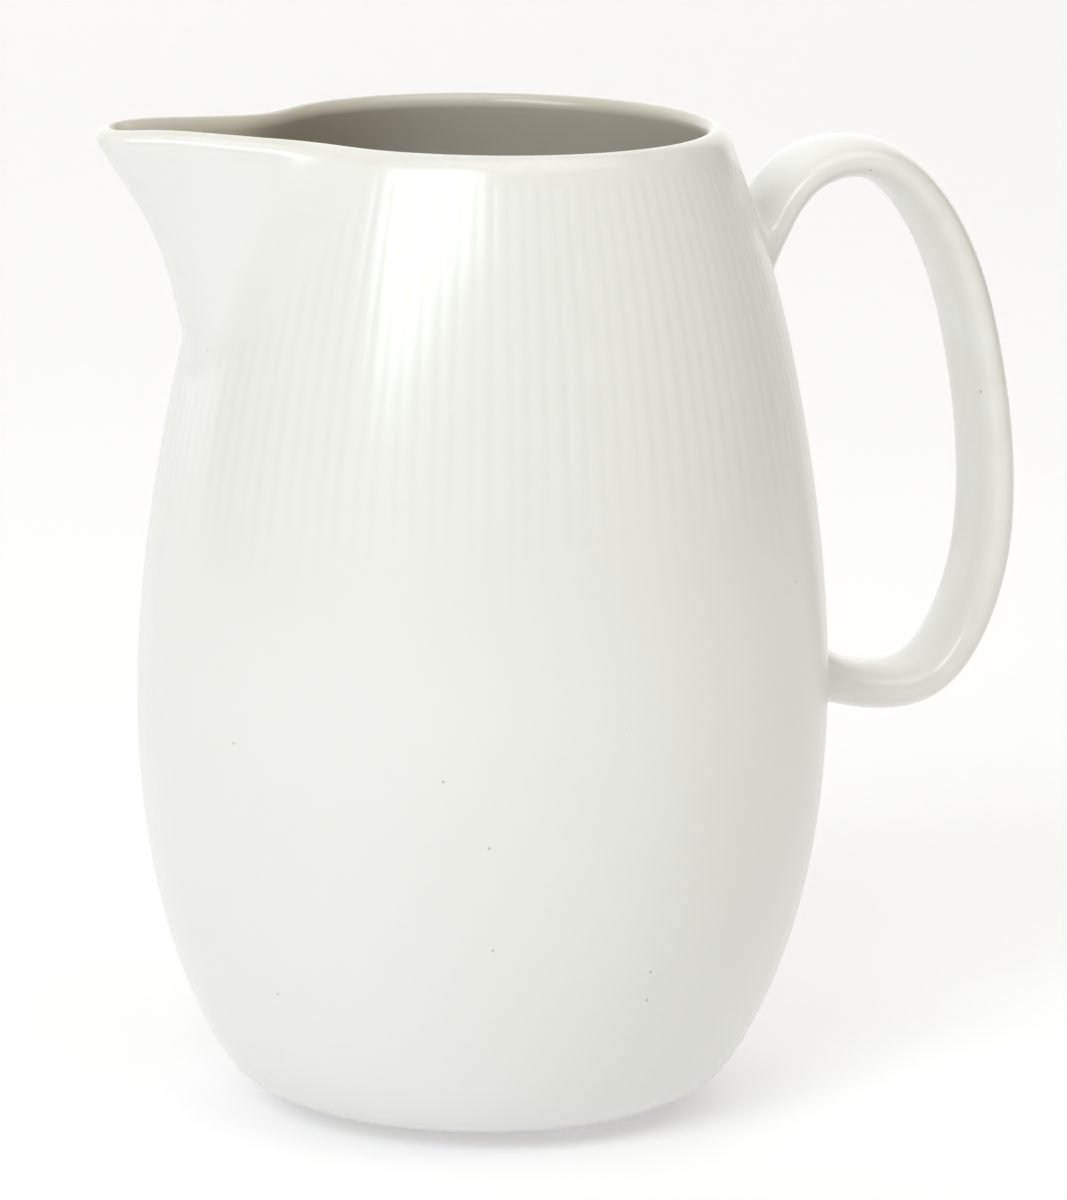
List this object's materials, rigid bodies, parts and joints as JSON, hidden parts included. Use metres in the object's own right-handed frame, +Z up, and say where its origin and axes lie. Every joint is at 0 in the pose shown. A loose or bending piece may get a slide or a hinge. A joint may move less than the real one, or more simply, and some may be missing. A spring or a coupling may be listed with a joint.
{
  "type": "ceramic pitcher",
  "caption": "White-glazed ceramic table pitcher: ribbed ovoid barrel with a wide open mouth, a pulled pouring beak and a strap loop handle.",
  "frame": {"origin": "on the table, at the centre of the foot ring's resting face, on the barrel's axis", "axes": "+Z up along the barrel's axis, -X towards the beak, +X towards the handle"},
  "size_m": [0.2036, 0.1468, 0.2121],
  "materials": {
    "glaze": "satin white glaze over a pale stoneware body",
    "bare_clay": "bare fired clay, matte, slightly gritty"
  },
  "bodies": {
    "root": {"vessel_wall": "glaze", "floor": "glaze", "foot_ring": "bare_clay", "spout": "glaze", "handle": "glaze", "upper_handle_joint": "glaze", "lower_handle_joint": "glaze"}
  },
  "joints": []
}
